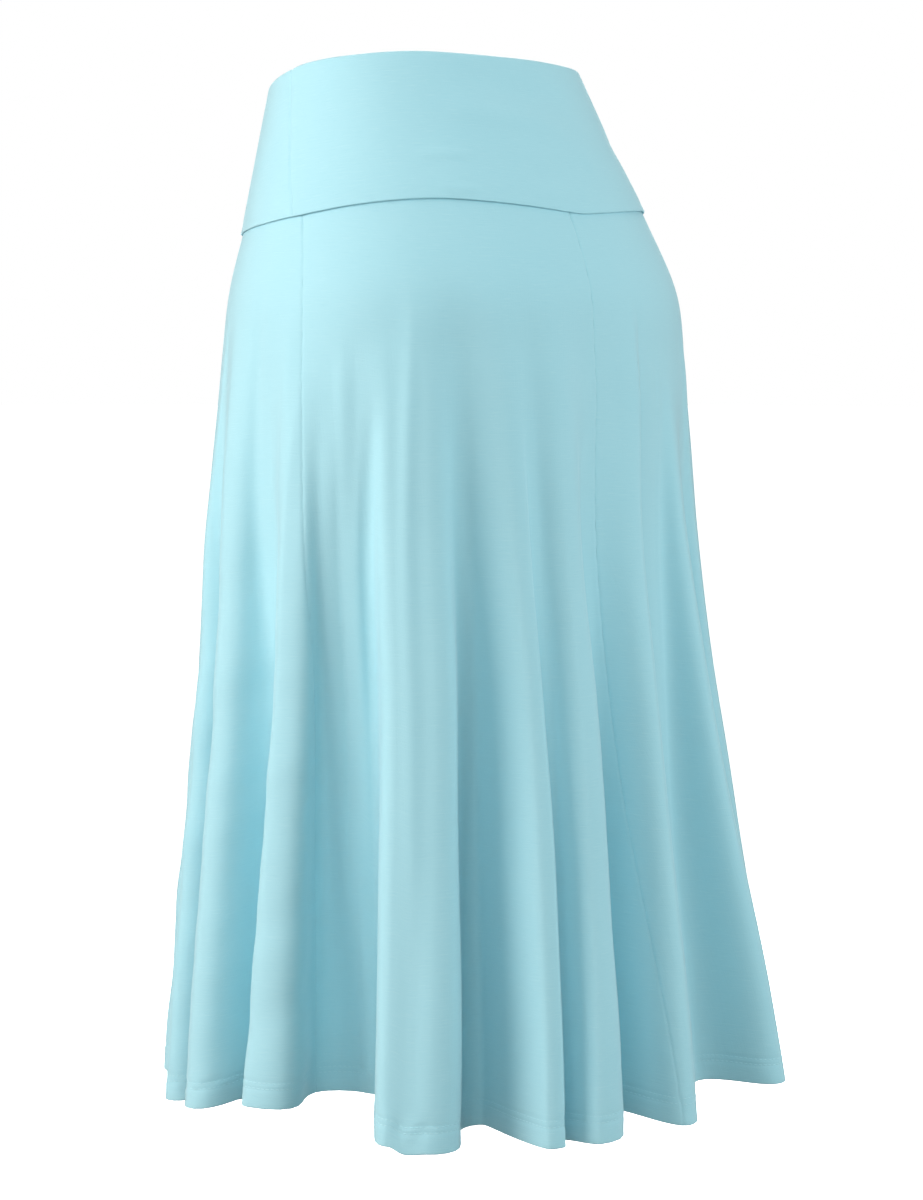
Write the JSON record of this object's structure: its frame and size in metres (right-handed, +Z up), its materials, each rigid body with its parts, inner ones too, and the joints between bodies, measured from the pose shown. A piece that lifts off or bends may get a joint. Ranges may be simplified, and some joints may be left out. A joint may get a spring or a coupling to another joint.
{
  "type": "midi skirt, worn form",
  "caption": "Flared midi skirt with a deep fold-over waistband and soft folds down to a turned-up hem, in its hollow worn form.",
  "frame": {"origin": "middle of the waist opening, level with the highest point of the band's top edge, where the wearer's waist holds the skirt", "axes": "+Z up along the wearer, the front faces -Y, the wearer's left is +X"},
  "size_m": [0.4464, 0.41, 0.6963],
  "materials": {
    "skirt_front": "fine slub jersey with a soft sheen",
    "skirt_back_left": "fine slub jersey with a soft sheen",
    "skirt_back_right": "fine slub jersey with a soft sheen",
    "band_front": "fine slub jersey with a soft sheen",
    "band_back": "fine slub jersey with a soft sheen"
  },
  "bodies": {
    "root": {"skirt_front": "skirt_front", "skirt_back_left": "skirt_back_left", "skirt_back_right": "skirt_back_right", "band_front": "band_front", "band_back": "band_back"}
  },
  "joints": []
}
